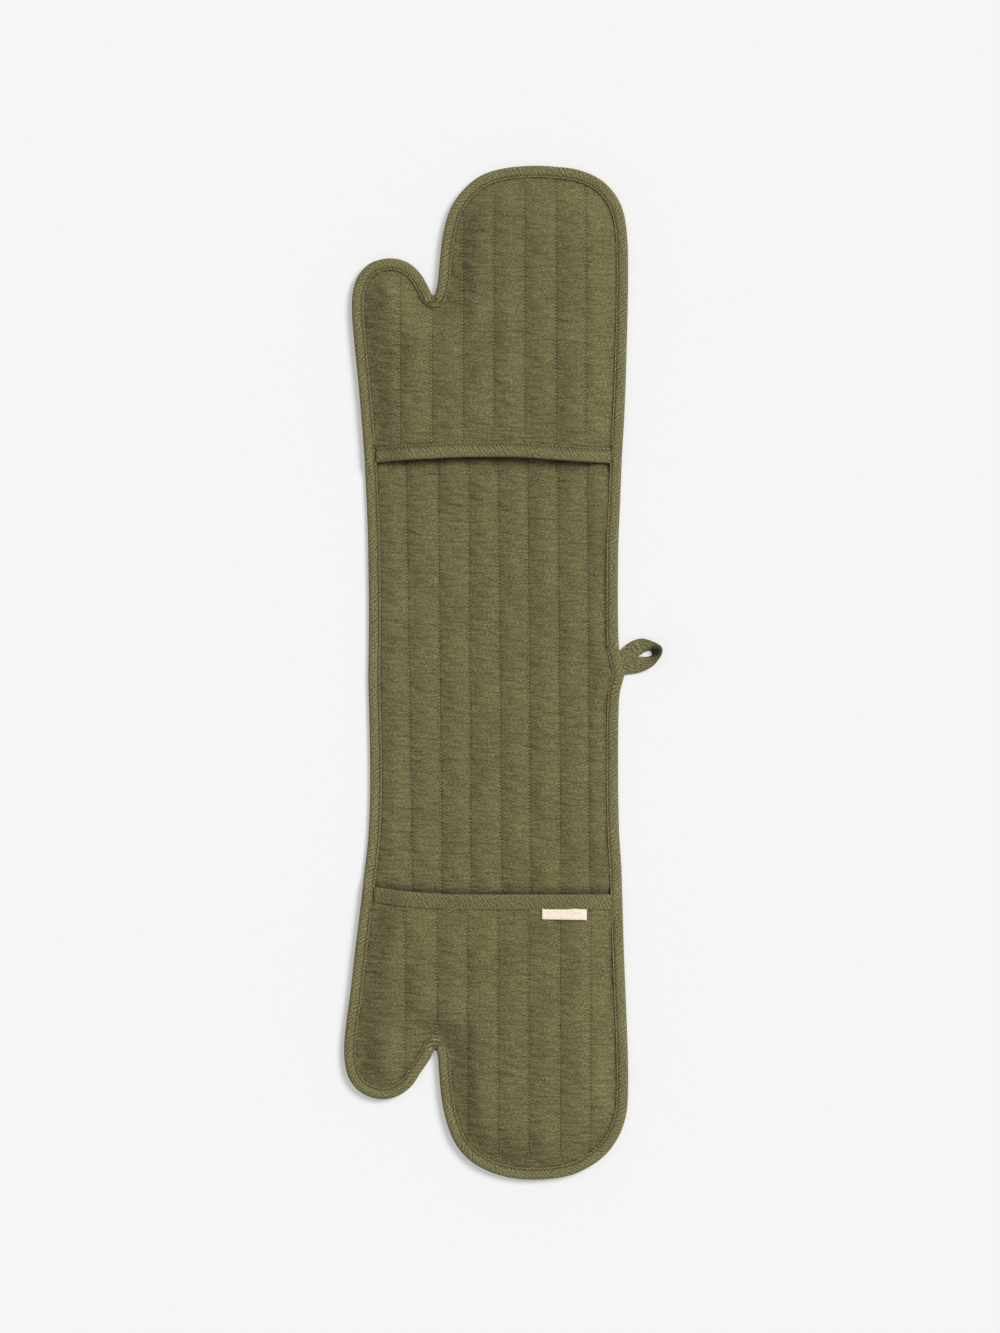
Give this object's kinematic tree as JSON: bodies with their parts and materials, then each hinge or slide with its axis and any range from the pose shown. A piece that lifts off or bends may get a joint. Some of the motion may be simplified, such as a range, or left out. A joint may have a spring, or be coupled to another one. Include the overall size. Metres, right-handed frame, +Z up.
{
  "type": "double oven glove",
  "caption": "Long quilted cloth band with a mitt pocket at each end for the hands, bound edges and a loop for hanging.",
  "frame": {"origin": "on the floor, under the middle of the bounding box of the glove laid flat with its loop", "axes": "+Y along the glove towards the upper mitt, +X towards the hanging loop, +Z up out of the pocket side"},
  "size_m": [0.271, 0.8616, 0.0174],
  "materials": {
    "olive_twill": "matt cotton twill",
    "cotton_wadding": "soft needled wadding",
    "olive_lining": "matt cotton twill",
    "olive_thread": "spun polyester thread",
    "cream_label": "smooth satin tape"
  },
  "bodies": {
    "upper_half": {"upper_back_cloth": "olive_twill", "upper_band_wadding": "cotton_wadding", "upper_band_face": "olive_twill", "upper_right_binding": "olive_twill", "upper_hand_binding": "olive_twill", "upper_thumb_binding": "olive_twill", "upper_edge_stitching": "olive_thread", "upper_mitt_seam_allowance": "olive_lining", "upper_band_row_1": "olive_thread", "upper_band_row_2": "olive_thread", "upper_band_row_3": "olive_thread", "upper_band_row_4": "olive_thread", "upper_band_row_5": "olive_thread", "upper_band_row_6": "olive_thread", "upper_band_row_7": "olive_thread"},
    "lower_half": {"lower_back_cloth": "olive_twill", "lower_band_wadding": "cotton_wadding", "lower_band_face": "olive_twill", "lower_right_binding": "olive_twill", "lower_hand_binding": "olive_twill", "lower_thumb_binding": "olive_twill", "lower_edge_stitching": "olive_thread", "lower_mitt_seam_allowance": "olive_lining", "lower_band_row_1": "olive_thread", "lower_band_row_2": "olive_thread", "lower_band_row_3": "olive_thread", "lower_band_row_4": "olive_thread", "lower_band_row_5": "olive_thread", "lower_band_row_6": "olive_thread", "lower_band_row_7": "olive_thread"},
    "upper_mitt_front": {"upper_mitt_lining": "olive_lining", "upper_mitt_wadding": "cotton_wadding", "upper_mitt_face": "olive_twill", "upper_mouth_binding": "olive_twill", "upper_mouth_stitching": "olive_thread", "upper_mitt_row_1": "olive_thread", "upper_mitt_row_2": "olive_thread", "upper_mitt_row_3": "olive_thread", "upper_mitt_row_4": "olive_thread", "upper_mitt_row_5": "olive_thread", "upper_mitt_row_6": "olive_thread", "upper_mitt_row_7": "olive_thread"},
    "lower_mitt_front": {"lower_mitt_lining": "olive_lining", "lower_mitt_wadding": "cotton_wadding", "lower_mitt_face": "olive_twill", "lower_mouth_binding": "olive_twill", "lower_mouth_stitching": "olive_thread", "lower_mitt_row_1": "olive_thread", "lower_mitt_row_2": "olive_thread", "lower_mitt_row_3": "olive_thread", "lower_mitt_row_4": "olive_thread", "lower_mitt_row_5": "olive_thread", "lower_mitt_row_6": "olive_thread", "lower_mitt_row_7": "olive_thread", "woven_label": "cream_label"},
    "loop": {"hanging_loop": "olive_twill"}
  },
  "joints": [
    {"name": "centre_fold", "type": "hinge", "parent": "upper_half", "child": "lower_half", "pos_m": [0, -0.00479, 0.0056], "axis": [-1, 0, 0], "range_deg": [0, 150]},
    {"name": "upper_mitt_open", "type": "hinge", "parent": "upper_half", "child": "upper_mitt_front", "pos_m": [0.01978, 0.42052, 0.0062], "axis": [-1, 0, 0], "range_deg": [0, 5]},
    {"name": "lower_mitt_open", "type": "hinge", "parent": "lower_half", "child": "lower_mitt_front", "pos_m": [0.01777, -0.42052, 0.0062], "axis": [1, 0, 0], "range_deg": [0, 5]},
    {"name": "loop_swing", "type": "hinge", "parent": "upper_half", "child": "loop", "pos_m": [0.09847, 0.01995, 0.002], "axis": [0.1962, -0.9806, 0], "range_deg": [0, 70]}
  ]
}
